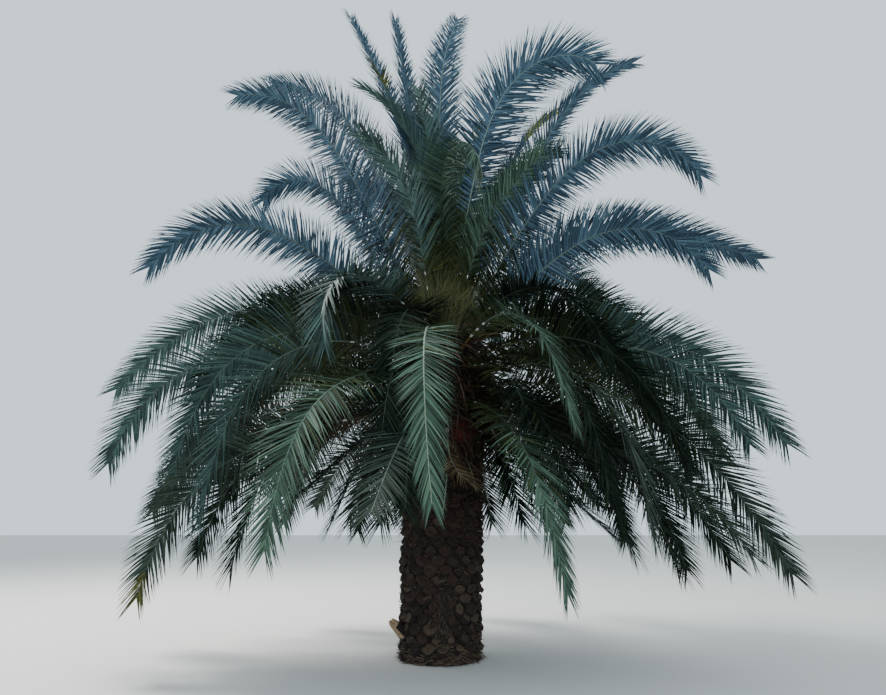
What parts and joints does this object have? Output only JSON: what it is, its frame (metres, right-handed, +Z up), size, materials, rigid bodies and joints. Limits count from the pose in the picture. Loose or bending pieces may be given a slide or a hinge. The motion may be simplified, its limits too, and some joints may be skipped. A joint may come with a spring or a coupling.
{
  "type": "date palm tree",
  "caption": "Date palm with a stout trunk clad in old leaf bases and a round crown of arching feathered fronds, one bunch of spent fruit strands in front of the trunk.",
  "frame": {"origin": "middle of the flat cut under the trunk, at ground level", "axes": "+Z up along the trunk, -Y towards the viewer of the picture, +X to the viewer's right"},
  "size_m": [9.3429, 6.8967, 9.3964],
  "materials": {
    "bark": "rough, matt, weathered",
    "fronds": "satin leaf with a blue-grey bloom",
    "fruit": "matt, dry strands"
  },
  "bodies": {
    "root": {"bottom_frond_1": "fronds", "bottom_frond_10": "fronds", "bottom_frond_11": "fronds", "bottom_frond_12": "fronds", "bottom_frond_3": "fronds", "bottom_frond_4": "fronds", "bottom_frond_6": "fronds", "bottom_frond_7": "fronds", "bottom_frond_9": "fronds", "fruit_bunch": "fruit", "lower_frond_1": "fronds", "lower_frond_10": "fronds", "lower_frond_12": "fronds", "lower_frond_13": "fronds", "lower_frond_14": "fronds", "lower_frond_15": "fronds", "lower_frond_3": "fronds", "lower_frond_4": "fronds", "lower_frond_5": "fronds", "lower_frond_5_tip": "fronds", "lower_frond_6": "fronds", "lower_frond_6_tip": "fronds", "lower_frond_7": "fronds", "lower_frond_8": "fronds", "lower_frond_9": "fronds", "middle_frond_1": "fronds", "middle_frond_2": "fronds", "middle_frond_2_tip": "fronds", "middle_frond_3": "fronds", "middle_frond_4": "fronds", "middle_frond_5": "fronds", "middle_frond_6": "fronds", "middle_frond_7": "fronds", "middle_frond_8": "fronds", "skirt_frond_1": "fronds", "skirt_frond_10": "fronds", "skirt_frond_11": "fronds", "skirt_frond_3": "fronds", "skirt_frond_4": "fronds", "skirt_frond_6": "fronds", "skirt_frond_7": "fronds", "skirt_frond_8": "fronds", "spear_frond_1": "fronds", "spear_frond_2": "fronds", "spear_frond_3": "fronds", "spear_frond_4": "fronds", "spear_frond_5": "fronds", "spear_frond_6": "fronds", "spear_frond_7": "fronds", "spear_frond_7_tip": "fronds", "spear_frond_8": "fronds", "spear_frond_9": "fronds", "trunk": "bark", "upper_frond_1": "fronds", "upper_frond_2": "fronds", "upper_frond_3": "fronds", "upper_frond_4": "fronds", "upper_frond_5": "fronds", "upper_frond_6": "fronds", "upper_frond_7": "fronds"}
  },
  "joints": []
}
